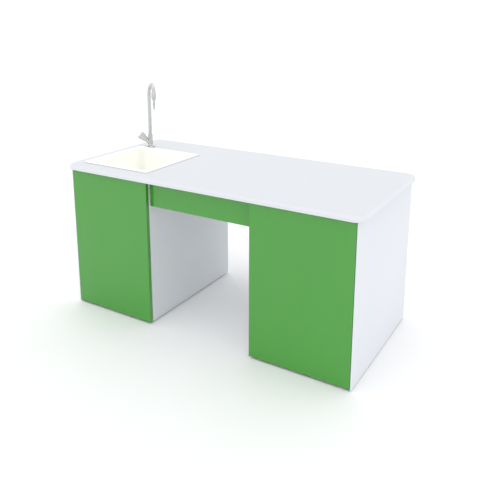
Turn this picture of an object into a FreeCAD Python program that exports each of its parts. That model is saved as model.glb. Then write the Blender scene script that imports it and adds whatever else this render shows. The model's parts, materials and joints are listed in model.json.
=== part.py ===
"""Lab teacher desk with a sink: two door pedestals, a centre drawer, a worktop and a gooseneck tap.

Millimetres. The origin is on the floor under the middle of the worktop, X runs to the right as
the user sits at the desk, the doors face -Y and Z is up.
"""
import FreeCAD, Part
import Sketcher
import math
import os

Vector = FreeCAD.Vector
Rotation = FreeCAD.Rotation

DRIVING_SIZES = {
    # Overall sizes
    "desk_height": 760,
    "worktop_length": 1580,
    "worktop_depth": 735,
    "worktop_thickness": 28,
    "worktop_corner": 46,
    "worktop_edge": 18,
    "worktop_under_edge": 3,
    "front_overhang": 18,
    "side_overhang": 24,
    "back_overhang": 5,
    # Boards of the two pedestals
    "pedestal_width": 480,
    "board": 18,
    "back_board": 8,
    "cover": 4,
    "cover_floor_gap": 4,
    "board_round": 0.8,
    "front_round": 1.5,
    "rail_width": 60,
    "glide_height": 8,
    "glide_radius": 14,
    "glide_inset": 40,
    "glide_bevel": 2,
    "glide_neck": 4,
    "shelf_height": 370,
    "shelf_setback": 25,
    "shelf_side_gap": 1,
    "pin_radius": 2.5,
    "pin_length": 16,
    "pin_socket": 8,
    "pin_inset": 45,
    # Doors, their pivots and their push latches
    "door": 18,
    "door_side_gap": 2,
    "door_back_gap": 3,
    "door_top_gap": 5,
    "door_floor_gap": 10,
    "pivot_from_edge": 8,
    "pivot_from_front": 5.5,
    "pivot_pin_radius": 2,
    "pivot_pin_depth": 12,
    "pivot_plate": 2.5,
    "pivot_plate_gap": 2.3,
    "pivot_plate_reach": 42,
    "pivot_plate_edge": 6,
    "pivot_plate_nose": 4,
    "pivot_leg_start": 11,
    "pivot_leg": 2,
    "pivot_leg_height": 17,
    "bush_radius": 3.5,
    "bush_depth": 14,
    "running_gap": 0.05,
    "thread_gap": 0.2,
    "seat_gap": 0.3,
    "latch_width": 14,
    "latch_height": 18,
    "latch_length": 60,
    "latch_drop": 110,
    "latch_setback": 2,
    "plunger_radius": 4,
    "plunger_length": 34,
    "plunger_play": 0.3,
    "plunger_travel": 3,
    "plunger_room": 2,
    "catch_radius": 7,
    "catch_plate": 1.2,
    # Centre drawer and its runners
    "drawer_recess": 28,
    "drawer_front_height": 119,
    "drawer_front_gap": 2,
    "drawer_top_gap": 4,
    "drawer_side": 12,
    "drawer_side_height": 80,
    "drawer_side_lift": 10,
    "drawer_length": 450,
    "drawer_base": 6,
    "drawer_base_lift": 8,
    "runner_space": 13,
    "runner_height": 36,
    "runner_length": 440,
    "runner_sheet": 1.5,
    "runner_play": 0.5,
    "runner_lift": 22,
    "stretcher_height": 120,
    # Sink bowl and its waste
    "sink_side_space": 35,
    "sink_length": 436,
    "sink_from_front": 48,
    "sink_rim": 26,
    "sink_rim_height": 5,
    "sink_corner": 10,
    "sink_rim_round": 2.5,
    "sink_wall": 6,
    "sink_cutout_gap": 3,
    "bowl_depth": 180,
    "bowl_floor": 8,
    "bowl_corner": 25,
    "bowl_floor_round": 20,
    "drain_gap": 0.5,
    "waste_radius": 23,
    "waste_bore": 18,
    "waste_length": 70,
    "waste_flange": 35,
    "waste_flange_height": 3,
    "strainer_radius": 28,
    "strainer_sheet": 2,
    "strainer_seat": 1.4,
    "strainer_hole": 2.2,
    "waste_nut_radius": 36,
    "waste_nut_height": 12,
    # Bottle trap
    "trap_radius": 38,
    "trap_wall": 4,
    "trap_collar": 31,
    "trap_collar_height": 45,
    "trap_overlap": 25,
    "trap_length": 95,
    "dip_tube": 17,
    "dip_tube_wall": 2,
    "cup_height": 38,
    "cup_wall": 4,
    "cup_thread": 18,
    "cup_slope": 8,
    "outlet_radius": 20.5,
    "outlet_wall": 3,
    "outlet_drop": 30,
    "outlet_socket": 30,
    "outlet_hole_gap": 1,
    "outlet_proud": 2,
    # Gooseneck tap
    "tap_behind_sink": 27,
    "tap_from_door_edge": 87,
    "tap_flange": 26,
    "tap_flange_edge": 4,
    "tap_flange_slope": 3,
    "tap_foot": 10,
    "tap_foot_flare": 2,
    "tap_wall": 2.8,
    "tap_shoulder": 4,
    "tap_shoulder_step": 1.2,
    "tap_height": 72,
    "tap_washer": 1,
    "tail_radius": 10,
    "tail_bore": 6,
    "tail_length": 110,
    "tail_end_radius": 8.3,
    "tail_end_length": 40,
    "tail_socket": 12,
    "tail_hole_gap": 1,
    "tap_nut_grip": 7,
    "tap_nut_room": 10,
    "tap_nut_height": 8,
    "spout_azimuth": -35.2,
    "spout_radius": 10,
    "spout_wall": 1.8,
    "spout_bend": 66,
    "spout_hook": 34,
    "spout_rise": 294,
    "spout_drop": 45,
    "spigot_radius": 8.6,
    "spigot_length": 18,
    "spigot_wall": 1.4,
    "collar_radius": 13,
    "collar_height": 44,
    "collar_ease": 4,
    "nozzle_radius": 6.4,
    "nozzle_tip": 5,
    "nozzle_bore": 3.5,
    "nozzle_neck": 10,
    "nozzle_barb": 1.1,
    "nozzle_length": 52,
    "nozzle_tip_length": 22,
    "handle_azimuth": -129,
    "handle_tilt": 45,
    "branch_lift": 19,
    "branch_radius": 9.5,
    "seat_port": 2.5,
    "seat_low": 20,
    "seat_high": 29,
    "valve_chamber": 5,
    "valve_disc": 5,
    "valve_disc_height": 3,
    "bonnet_radius": 7,
    "bonnet_collar": 10,
    "bonnet_collar_height": 6,
    "bonnet_clearance": 0.4,
    "bonnet_neck": 8,
    "bonnet_neck_height": 8,
    "spindle_radius": 3,
    "spindle_cover": 20,
    "handle_gap": 1,
    "handle_end": 82,
    "handle_small": 14,
    "handle_large": 22.5,
    "handle_grip_depth": 2,
    "handle_grip_radius": 5,
    "handle_clearance": 1,
    "handle_lip": 3,
    "handle_crown": 6,
    # Worktop brackets and their screws
    "bracket_leg": 28,
    "bracket_width": 20,
    "bracket_sheet": 2,
    "bracket_from_back": 90,
    "bracket_pitch": 420,
    "screw_head_radius": 3.5,
    "screw_head_height": 2,
    "screw_radius": 2,
    "screw_length": 12,
}

STRAINER_RING_HOLES = 12
STRAINER_RING_SHARE = 0.72
HANDLE_GRIPS = 8
NOZZLE_BARBS = 3
BARB_SHARE = 0.8
BRACKET_HOLE_SHARE = 0.6
OVERSHOOT = 1

doc = FreeCAD.newDocument("lab_teacher_desk")
sheet = doc.addObject("Spreadsheet::Sheet", "Sizes")
sub_parts = []


class Size:
    """A length that carries its number and the formula that ties it to the sheet."""

    def __init__(self, number, formula):
        self.number = float(number)
        self.formula = formula

    def __add__(self, other):
        other = as_size(other)
        return Size(self.number + other.number, f"({self.formula} + {other.formula})")

    def __sub__(self, other):
        other = as_size(other)
        return Size(self.number - other.number, f"({self.formula} - {other.formula})")

    def __rsub__(self, other):
        return as_size(other) - self

    def __mul__(self, share):
        return Size(self.number * share, f"({self.formula} * {share!r})")

    def __truediv__(self, divisor):
        return Size(self.number / divisor, f"({self.formula} / {divisor!r})")

    def __neg__(self):
        return Size(-self.number, f"(0 - {self.formula})")

    __radd__ = __add__
    __rmul__ = __mul__


def as_size(value):
    return value if isinstance(value, Size) else Size(value, repr(float(value)))


def larger(first, second):
    return Size(max(first.number, second.number), f"max({first.formula}; {second.formula})")


def fill_sheet():
    """Write every driving size to its own cell and return them by name."""
    sizes = {}
    for row, (name, number) in enumerate(DRIVING_SIZES.items(), start=1):
        sheet.set(f"A{row}", name)
        sheet.set(f"B{row}", str(number))
        sheet.setAlias(f"B{row}", name)
        sizes[name] = Size(number, f"Sizes.{name}")
    doc.recompute()
    return sizes


S = fill_sheet()


def bind(item, **properties):
    """Tie each named property of a document object to a size."""
    for name, value in properties.items():
        item.setExpression(name, as_size(value).formula)


def place(item, x=0, y=0, z=0, rotation=None):
    """Put an object at a point that is tied to the sheet, with a fixed turn."""
    if rotation is not None:
        item.Placement = FreeCAD.Placement(Vector(0, 0, 0), rotation)
    for axis, value in zip("xyz", (x, y, z)):
        item.setExpression(f"Placement.Base.{axis}", as_size(value).formula)
    return item


def keep(item, label):
    """Record an object as a finished sub-part under its own name."""
    item.Label = label
    if item.Label != label:
        raise RuntimeError(f"the name {label} is taken")
    sub_parts.append(item)
    return item


def origin_plane(body, role):
    return next(plane for plane in body.Origin.OriginFeatures if plane.Role == role)


def new_body(name):
    return doc.addObject("PartDesign::Body", name)


def new_sketch(body, name, role="XY_Plane", offset=None):
    sketch = body.newObject("Sketcher::SketchObject", name)
    sketch.AttachmentSupport = (origin_plane(body, role), [""])
    sketch.MapMode = "FlatFace"
    if offset is not None:
        sketch.setExpression("AttachmentOffset.Base.z", as_size(offset).formula)
    return sketch


def fix_point(sketch, line, vertex, x, y):
    """Hold one end of a sketch line at a point that is tied to the sheet."""
    for kind, axis, value in (("DistanceX", -2, as_size(x)), ("DistanceY", -1, as_size(y))):
        if value.number == 0:
            sketch.addConstraint(Sketcher.Constraint("PointOnObject", line, vertex, axis))
        else:
            index = sketch.addConstraint(Sketcher.Constraint(kind, -1, 1, line, vertex, value.number))
            sketch.setExpression(f"Constraints[{index}]", value.formula)


def draw_outline(sketch, points):
    """A closed outline of straight lines through points that are tied to the sheet."""
    spots = [Vector(as_size(x).number, as_size(y).number, 0) for x, y in points]
    lines = [Part.LineSegment(a, b) for a, b in zip(spots, spots[1:] + spots[:1])]
    first = [sketch.addGeometry(line, False) for line in lines][0]
    count = len(points)
    for i in range(count):
        sketch.addConstraint(Sketcher.Constraint("Coincident", first + i, 2, first + (i + 1) % count, 1))
    for i, (x, y) in enumerate(points):
        fix_point(sketch, first + i, 1, x, y)


def draw_circle(sketch, radius, x=0, y=0):
    radius, x, y = as_size(radius), as_size(x), as_size(y)
    circle = Part.Circle(Vector(x.number, y.number, 0), Vector(0, 0, 1), radius.number)
    index = sketch.addGeometry(circle, False)
    datum = sketch.addConstraint(Sketcher.Constraint("Radius", index, radius.number))
    sketch.setExpression(f"Constraints[{datum}]", radius.formula)
    fix_point(sketch, index, 3, x, y)


def rectangle(x0, x1, y0, y1):
    return [(x0, y0), (x1, y0), (x1, y1), (x0, y1)]


def centred(width, length):
    return rectangle(-width / 2, width / 2, -length / 2, length / 2)


def pad(body, sketch, name, length, down=False):
    feature = body.newObject("PartDesign::Pad", name)
    feature.Profile = sketch
    feature.Reversed = down
    bind(feature, Length=length)
    doc.recompute()
    return feature


def pocket(body, sketch, name, depth=None, up=False):
    """Cut a sketch downwards from its plane, or upwards, through everything if no depth is given."""
    before = body.Shape.Volume
    feature = body.newObject("PartDesign::Pocket", name)
    feature.Profile = sketch
    feature.Reversed = up
    if depth is None:
        feature.Type = "ThroughAll"
    else:
        bind(feature, Length=depth)
    doc.recompute()
    if body.Shape.Volume >= before:
        raise RuntimeError(f"{name} cuts nothing")
    return feature


def round_edges(body, name, radius, wanted):
    """Round the edges of the body's last feature whose middle passes the test."""
    base = body.Tip
    names = []
    for index, edge in enumerate(base.Shape.Edges, start=1):
        middle = edge.valueAt((edge.FirstParameter + edge.LastParameter) / 2)
        if wanted(edge, middle):
            names.append(f"Edge{index}")
    feature = body.newObject("PartDesign::Fillet", name)
    feature.Base = (base, names)
    bind(feature, Radius=radius)
    doc.recompute()
    return feature


def is_upright(edge):
    box = edge.BoundBox
    return box.ZLength > 1 and box.XLength < 1e-6 and box.YLength < 1e-6


def near(value, target):
    return abs(value - target) < 1e-4


def box(name, x0, x1, y0, y1, z0, z1):
    """A plain block between six planes."""
    item = doc.addObject("Part::Box", name)
    bind(item, Length=as_size(x1) - x0, Width=as_size(y1) - y0, Height=as_size(z1) - z0)
    return place(item, x0, y0, z0)


def panel(name, x0, x1, y0, y1, z0, z1, rounding="board_round"):
    """A board between six planes with all its edges eased."""
    body = new_body(name)
    sketch = new_sketch(body, name + "_outline")
    draw_outline(sketch, rectangle(0, as_size(x1) - x0, 0, as_size(y1) - y0))
    pad(body, sketch, name + "_thickness", as_size(z1) - z0)
    round_edges(body, name + "_easing", S[rounding], lambda edge, middle: True)
    return place(body, x0, y0, z0)


TURNS = {
    "up": None,
    "back": Rotation(Vector(1, 0, 0), -90),
    "right": Rotation(Vector(0, 1, 0), 90),
}


def rod(name, radius, length, x, y, z, along="up"):
    """A plain round bar from a point, upwards, to the back or to the right."""
    item = doc.addObject("Part::Cylinder", name)
    bind(item, Radius=radius, Height=length)
    return place(item, x, y, z, TURNS[along])


def turned(name, outline, x=0, y=0, z=0, rotation=None):
    """A round piece made by turning an outline of radius and height about its own axis."""
    body = new_body(name)
    sketch = new_sketch(body, name + "_profile", "XZ_Plane")
    draw_outline(sketch, outline)
    feature = body.newObject("PartDesign::Revolution", name + "_turn")
    feature.Profile = sketch
    feature.ReferenceAxis = (sketch, ["V_Axis"])
    feature.Angle = 360
    doc.recompute()
    return place(body, x, y, z, rotation)


def ring(name, inner, outer, height, x, y, z):
    return turned(name, rectangle(inner, outer, 0, height), x, y, z)


def cut(name, base, *tools):
    """Take the tools out of the base, one after another."""
    for number, tool in enumerate(tools, start=1):
        item = doc.addObject("Part::Cut", f"{name}_cut{number}")
        item.Base = base
        item.Tool = tool
        base = item
    return base


def joined(name, *pieces):
    item = doc.addObject("Part::MultiFuse", name + "_joined")
    item.Shapes = list(pieces)
    return item


def group(name, pieces):
    """Identical pieces that share one name and stay separate solids."""
    item = doc.addObject("Part::Compound", name + "_set")
    item.Links = list(pieces)
    return item


# Planes that the pieces share
top_z = S["desk_height"]
under_z = top_z - S["worktop_thickness"]
door_front = S["front_overhang"] - S["worktop_depth"] / 2
door_back = door_front + S["door"]
carcass_front = door_back + S["door_back_gap"]
carcass_back = S["worktop_depth"] / 2 - S["back_overhang"]
back_face = carcass_back - S["back_board"]
cover_outer = S["worktop_length"] / 2 - S["side_overhang"]
carcass_outer = cover_outer - S["cover"]
outer_face = carcass_outer - S["board"]
knee_face = carcass_outer - S["pedestal_width"]
inner_face = knee_face + S["board"]
base_z = S["glide_height"]
floor_top = base_z + S["board"]
rail_z = under_z - S["board"]
door_outer = carcass_outer - S["door_side_gap"]
door_low = S["door_floor_gap"]
door_high = under_z - S["door_top_gap"]

# Sink and tap places
sink_x = -(carcass_outer + knee_face) / 2
sink_y = door_front + S["sink_from_front"] + S["sink_length"] / 2
bowl_z = top_z + S["sink_rim_height"] - S["bowl_depth"]
bowl_under_z = bowl_z - S["bowl_floor"]
shell_width = outer_face - inner_face - S["sink_side_space"] * 2
bowl_width = shell_width - S["sink_wall"] * 2
rim_width = bowl_width + S["sink_rim"] * 2
bowl_length = S["sink_length"] - S["sink_rim"] * 2
shell_length = bowl_length + S["sink_wall"] * 2
tap_x = S["tap_from_door_edge"] - door_outer
tap_y = sink_y + S["sink_length"] / 2 + S["tap_behind_sink"]
tap_nut_radius = S["tail_radius"] + S["tap_nut_grip"]
SPOUT_TURN = Rotation(Vector(0, 0, 1), DRIVING_SIZES["spout_azimuth"])
HANDLE_TURN = Rotation(Vector(0, 0, 1), DRIVING_SIZES["handle_azimuth"]).multiply(
    Rotation(Vector(0, 1, 0), DRIVING_SIZES["handle_tilt"]))
handle_z = top_z + S["branch_lift"]
tap_radius = S["tail_radius"] + S["tap_wall"]
TILT = math.radians(DRIVING_SIZES["handle_tilt"])
# The branch is just long enough for the bonnet's collar to clear the pillar
branch_length = (tap_radius + S["bonnet_clearance"] + S["bonnet_collar"] * math.cos(TILT)) / math.sin(TILT)

# Trap heights and the waste pipe's centre line
sleeve_end = bowl_z - S["waste_length"]
trap_top = sleeve_end + S["trap_overlap"]
trap_shoulder = trap_top - S["trap_collar_height"]
trap_end = trap_shoulder - S["trap_length"]
outlet_z = trap_shoulder - S["outlet_drop"]
outlet_start = sink_y + S["trap_radius"]


def span(side, inner, outer):
    """The two X planes of a piece on one side of the desk, lower one first."""
    return (-outer, -inner) if side == "left" else (inner, outer)


def mirrored(side, x):
    return -x if side == "left" else x


def make_worktop():
    body = new_body("worktop_board")
    sketch = new_sketch(body, "worktop_outline")
    draw_outline(sketch, centred(S["worktop_length"], S["worktop_depth"]))
    pad(body, sketch, "worktop_slab", S["worktop_thickness"])
    round_edges(body, "worktop_corners", S["worktop_corner"], lambda edge, middle: is_upright(edge))
    thickness = S["worktop_thickness"].number
    round_edges(body, "worktop_upper_edge", S["worktop_edge"], lambda edge, middle: near(middle.z, thickness))
    round_edges(body, "worktop_lower_edge", S["worktop_under_edge"], lambda edge, middle: near(middle.z, 0))
    opening = new_sketch(body, "sink_cutout", offset=S["worktop_thickness"])
    gap = S["sink_cutout_gap"]
    half_width = shell_width / 2 + gap
    half_length = shell_length / 2 + gap
    draw_outline(opening, rectangle(sink_x - half_width, sink_x + half_width,
                                    sink_y - half_length, sink_y + half_length))
    pocket(body, opening, "sink_opening")
    hole = new_sketch(body, "tap_hole_centre", offset=S["worktop_thickness"])
    draw_circle(hole, S["tail_radius"] + S["tail_hole_gap"], tap_x, tap_y)
    pocket(body, hole, "tap_hole")
    place(body, z=under_z)
    keep(cut("worktop_pilots", body, group("top_screw_holes", upward_screw_holes())), "worktop")


def make_sink():
    body = new_body("sink")
    rim = new_sketch(body, "sink_rim_outline")
    draw_outline(rim, centred(rim_width, S["sink_length"]))
    pad(body, rim, "sink_rim_plate", S["sink_rim_height"])
    round_edges(body, "sink_rim_corners", S["sink_corner"], lambda edge, middle: is_upright(edge))
    rim_top = S["sink_rim_height"].number
    round_edges(body, "sink_rim_easing", S["sink_rim_round"], lambda edge, middle: near(middle.z, rim_top))
    shell = new_sketch(body, "sink_shell_outline")
    draw_outline(shell, centred(shell_width, shell_length))
    shell_depth = S["bowl_depth"] - S["sink_rim_height"] + S["bowl_floor"]
    pad(body, shell, "sink_shell", shell_depth, down=True)
    bowl = new_sketch(body, "sink_bowl_outline", offset=S["sink_rim_height"])
    draw_outline(bowl, centred(bowl_width, bowl_length))
    pocket(body, bowl, "sink_hollow", S["bowl_depth"])
    bowl_half = bowl_width.number / 2
    round_edges(body, "sink_bowl_corners", S["bowl_corner"],
                lambda edge, middle: is_upright(edge) and near(abs(middle.x), bowl_half))
    bowl_end = (S["sink_rim_height"] - S["bowl_depth"]).number
    round_edges(body, "sink_bowl_floor", S["bowl_floor_round"], lambda edge, middle: near(middle.z, bowl_end))
    shell_half = shell_width.number / 2
    round_edges(body, "sink_shell_corners", S["bowl_corner"] + S["sink_wall"],
                lambda edge, middle: is_upright(edge) and near(abs(middle.x), shell_half))
    shell_end = -shell_depth.number
    round_edges(body, "sink_shell_base", S["bowl_floor_round"] + S["sink_wall"],
                lambda edge, middle: near(middle.z, shell_end))
    limit_x, limit_y = bowl_half + OVERSHOOT, bowl_length.number / 2 + OVERSHOOT
    round_edges(body, "sink_bowl_lip", S["sink_rim_round"],
                lambda edge, middle: near(middle.z, rim_top)
                and abs(middle.x) < limit_x and abs(middle.y) < limit_y)
    drain = new_sketch(body, "drain_centre", offset=S["sink_rim_height"])
    draw_circle(drain, S["waste_radius"] + S["drain_gap"])
    pocket(body, drain, "drain_hole")
    keep(place(body, sink_x, sink_y, top_z), "sink_bowl")


def make_waste():
    bore, sleeve, flange = S["waste_bore"], S["waste_radius"], S["waste_flange"]
    seat = S["strainer_radius"] + S["thread_gap"]
    outline = [(bore, -S["waste_length"]), (sleeve, -S["waste_length"]), (sleeve, 0), (flange, 0),
               (flange, S["waste_flange_height"]), (seat, S["waste_flange_height"]),
               (seat, S["strainer_seat"]), (bore, S["strainer_seat"])]
    keep(turned("sink_waste", outline, sink_x, sink_y, bowl_z), "sink_waste")

    body = new_body("strainer")
    disc = new_sketch(body, "strainer_disc")
    draw_circle(disc, S["strainer_radius"])
    pad(body, disc, "strainer_plate", S["strainer_sheet"])
    hole = new_sketch(body, "strainer_hole_centre", offset=S["strainer_sheet"])
    draw_circle(hole, S["strainer_hole"], S["strainer_radius"] * STRAINER_RING_SHARE)
    holes = pocket(body, hole, "strainer_hole")
    pattern = body.newObject("PartDesign::PolarPattern", "strainer_holes")
    pattern.Originals = [holes]
    pattern.Axis = (disc, ["N_Axis"])
    pattern.Angle = 360
    pattern.Occurrences = STRAINER_RING_HOLES
    body.Tip = pattern
    doc.recompute()
    keep(place(body, sink_x, sink_y, bowl_z + S["strainer_seat"]), "waste_strainer")

    nut = doc.addObject("Part::Prism", "waste_nut_hex")
    nut.Polygon = 6
    bind(nut, Circumradius=S["waste_nut_radius"], Height=S["waste_nut_height"])
    place(nut, sink_x, sink_y, bowl_under_z - S["waste_nut_height"])
    hole = rod("waste_nut_bore", sleeve + S["thread_gap"], S["waste_nut_height"] * 3, sink_x, sink_y,
               bowl_under_z - S["waste_nut_height"] * 2)
    keep(cut("waste_nut", nut, hole), "waste_nut")


def make_trap():
    wall, shoulder, end = S["trap_wall"], trap_shoulder, trap_end
    collar_bore = S["waste_radius"] + S["seat_gap"]
    sleeve_stop = sleeve_end - S["seat_gap"]
    tube = S["dip_tube"]
    tube_bore = tube - S["dip_tube_wall"]
    bottle = S["trap_radius"]
    outline = [(collar_bore, trap_top), (S["trap_collar"], trap_top), (S["trap_collar"], shoulder),
               (bottle, shoulder), (bottle, end), (bottle - wall, end), (bottle - wall, shoulder - wall),
               (tube, shoulder - wall), (tube, end), (tube_bore, end), (tube_bore, sleeve_stop),
               (collar_bore, sleeve_stop)]
    vessel = turned("trap_vessel", outline, sink_x, sink_y)
    socket_radius = S["outlet_radius"] + S["outlet_wall"]
    socket_start = outlet_start - wall * 2
    socket = rod("trap_socket", socket_radius, S["outlet_socket"] + wall * 2, sink_x, socket_start,
                 outlet_z, "back")
    inside = rod("trap_inside", bottle - wall, S["trap_length"] - wall, sink_x, sink_y, end)
    bore = rod("trap_socket_bore", S["outlet_radius"] + S["thread_gap"], S["outlet_socket"] + wall * 4, sink_x,
               outlet_start - wall, outlet_z, "back")
    stub = cut("trap_stub", socket, inside)
    keep(cut("trap_body", joined("trap", vessel, stub), bore), "trap_body")

    outer = bottle + S["cup_wall"]
    low = end - S["cup_height"]
    slope, grip = S["cup_slope"], bottle + S["thread_gap"]
    ledge = end - S["seat_gap"]
    cup = [(0, low), (outer - slope, low), (outer, low + slope), (outer, end + S["cup_thread"]),
           (grip, end + S["cup_thread"]), (grip, ledge), (bottle - wall, ledge),
           (bottle - wall, low + slope), (0, low + slope)]
    keep(turned("trap_cup", cup, sink_x, sink_y), "trap_cup")

    start = outlet_start + S["cup_wall"]
    length = carcass_back + S["outlet_proud"] - start
    pipe = rod("outlet_pipe", S["outlet_radius"], length, sink_x, start, outlet_z, "back")
    bore = rod("outlet_pipe_bore", S["outlet_radius"] - S["outlet_wall"], length * 3, sink_x,
               start - length, outlet_z, "back")
    keep(cut("trap_outlet_pipe", pipe, bore), "trap_outlet_pipe")


def along_handle(name, outline):
    """A round piece on the tilted axis of the tap's handle."""
    return turned(name, outline, tap_x, tap_y, handle_z, HANDLE_TURN)


def make_tap():
    gap = S["running_gap"]
    low, high, radius = S["tap_washer"], S["tap_height"], tap_radius
    flange, edge = S["tap_flange"], low + S["tap_flange_edge"]
    slope, foot = edge + S["tap_flange_slope"], low + S["tap_foot"]
    pillar = turned("tap_pillar", [
        (0, low), (flange, low), (flange, edge), (flange - S["tap_flange_edge"], slope),
        (radius + S["tap_foot_flare"], foot), (radius, foot + S["tap_foot_flare"] * 2),
        (radius, high - S["tap_shoulder"]), (radius - S["tap_shoulder_step"], high), (0, high)],
        tap_x, tap_y, top_z)
    branch = along_handle("tap_branch", rectangle(0, S["branch_radius"], 0, branch_length))
    socket = S["tail_socket"] + low
    spigot_low = high - S["spigot_length"]
    inlet = turned("tap_inlet_way", [
        (0, 0), (S["tail_radius"] + gap, 0), (S["tail_radius"] + gap, socket), (S["tail_bore"], socket),
        (S["tail_bore"], S["seat_low"]), (0, S["seat_low"])], tap_x, tap_y, top_z)
    outlet = turned("tap_outlet_way", [
        (0, S["seat_high"]), (S["tail_bore"], S["seat_high"]), (S["tail_bore"], spigot_low),
        (S["spigot_radius"] + gap, spigot_low), (S["spigot_radius"] + gap, high + OVERSHOOT),
        (0, high + OVERSHOOT)], tap_x, tap_y, top_z)
    seat = branch_length / 2
    port = along_handle("tap_seat_port", rectangle(0, S["seat_port"], 0, seat + OVERSHOOT))
    valve_way = along_handle("tap_valve_way", rectangle(0, S["bonnet_radius"] + gap, seat,
                                                        branch_length + OVERSHOOT))
    keep(cut("tap_body", joined("tap", pillar, branch), inlet, outlet, port, valve_way), "tap_body")

    keep(ring("gasket", S["tail_radius"] + S["seat_gap"], flange - S["seat_gap"], low, tap_x, tap_y, top_z),
         "tap_gasket")
    tail_low, tail_high = -S["tail_length"], socket - S["seat_gap"]
    tail_step = tail_low + S["tail_end_length"]
    tail = turned("tap_tail", [
        (S["tail_bore"], tail_low), (S["tail_end_radius"], tail_low), (S["tail_end_radius"], tail_step),
        (S["tail_radius"], tail_step), (S["tail_radius"], tail_high), (S["tail_bore"], tail_high)],
        tap_x, tap_y, top_z)
    keep(tail, "tap_inlet_tail")
    nut = doc.addObject("Part::Prism", "tap_nut_hex")
    nut.Polygon = 6
    bind(nut, Circumradius=tap_nut_radius, Height=S["tap_nut_height"])
    place(nut, tap_x, tap_y, under_z - S["tap_nut_height"])
    hole = rod("tap_nut_bore", S["tail_radius"] + S["thread_gap"], S["tap_nut_height"] * 3, tap_x, tap_y,
               under_z - S["tap_nut_height"] * 2)
    keep(cut("tap_fixing_nut", nut, hole), "tap_fixing_nut")


def make_tap_valve():
    spindle, gap = S["spindle_radius"], S["running_gap"]
    seat = branch_length / 2
    start = seat + S["valve_chamber"]
    face = branch_length
    collar_end = face + S["bonnet_collar_height"]
    neck_end = collar_end + S["bonnet_neck_height"]
    bonnet = [(spindle + gap, start), (S["bonnet_radius"], start), (S["bonnet_radius"], face),
              (S["bonnet_collar"], face), (S["bonnet_collar"], collar_end), (S["bonnet_neck"], collar_end),
              (S["bonnet_neck"], neck_end), (spindle + gap, neck_end)]
    keep(along_handle("bonnet", bonnet), "valve_bonnet")
    spindle_end = S["handle_end"] - S["spindle_cover"]
    disc, disc_end = S["valve_disc"], seat + S["valve_disc_height"]
    stem = [(0, seat), (disc, seat), (disc, disc_end), (spindle, disc_end), (spindle, spindle_end),
            (0, spindle_end)]
    keep(along_handle("spindle", stem), "valve_spindle")

    begin, end = collar_end + S["handle_gap"], S["handle_end"]
    small, large = S["handle_small"], S["handle_large"]
    recess, recess_end = S["bonnet_neck"] + S["handle_clearance"], neck_end + S["handle_clearance"]
    lip, crown = S["handle_lip"], S["handle_crown"]
    bore_end = spindle_end + S["seat_gap"]
    knob = along_handle("handle_knob", [
        (0, end), (large - crown, end), (large - crown * 0.2, end - crown * 0.3), (large, end - crown),
        (small + lip * 0.3, begin + lip), (small - lip * 0.2, begin), (recess, begin),
        (recess, recess_end), (spindle + gap, recess_end), (spindle + gap, bore_end), (0, bore_end)])
    grip = S["handle_grip_radius"]
    offset = large + grip - S["handle_grip_depth"]
    grooves = []
    for number in range(HANDLE_GRIPS):
        body = new_body(f"grip{number}")
        sketch = new_sketch(body, f"grip{number}_centre")
        draw_circle(sketch, grip, offset)
        pad(body, sketch, f"grip{number}_cutter", end * 2)
        turn = HANDLE_TURN.multiply(Rotation(Vector(0, 0, 1), 360 / HANDLE_GRIPS * number))
        grooves.append(place(body, tap_x, tap_y, handle_z, turn))
    keep(cut("tap_handle", knob, group("grips", grooves)), "tap_handle")


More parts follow.
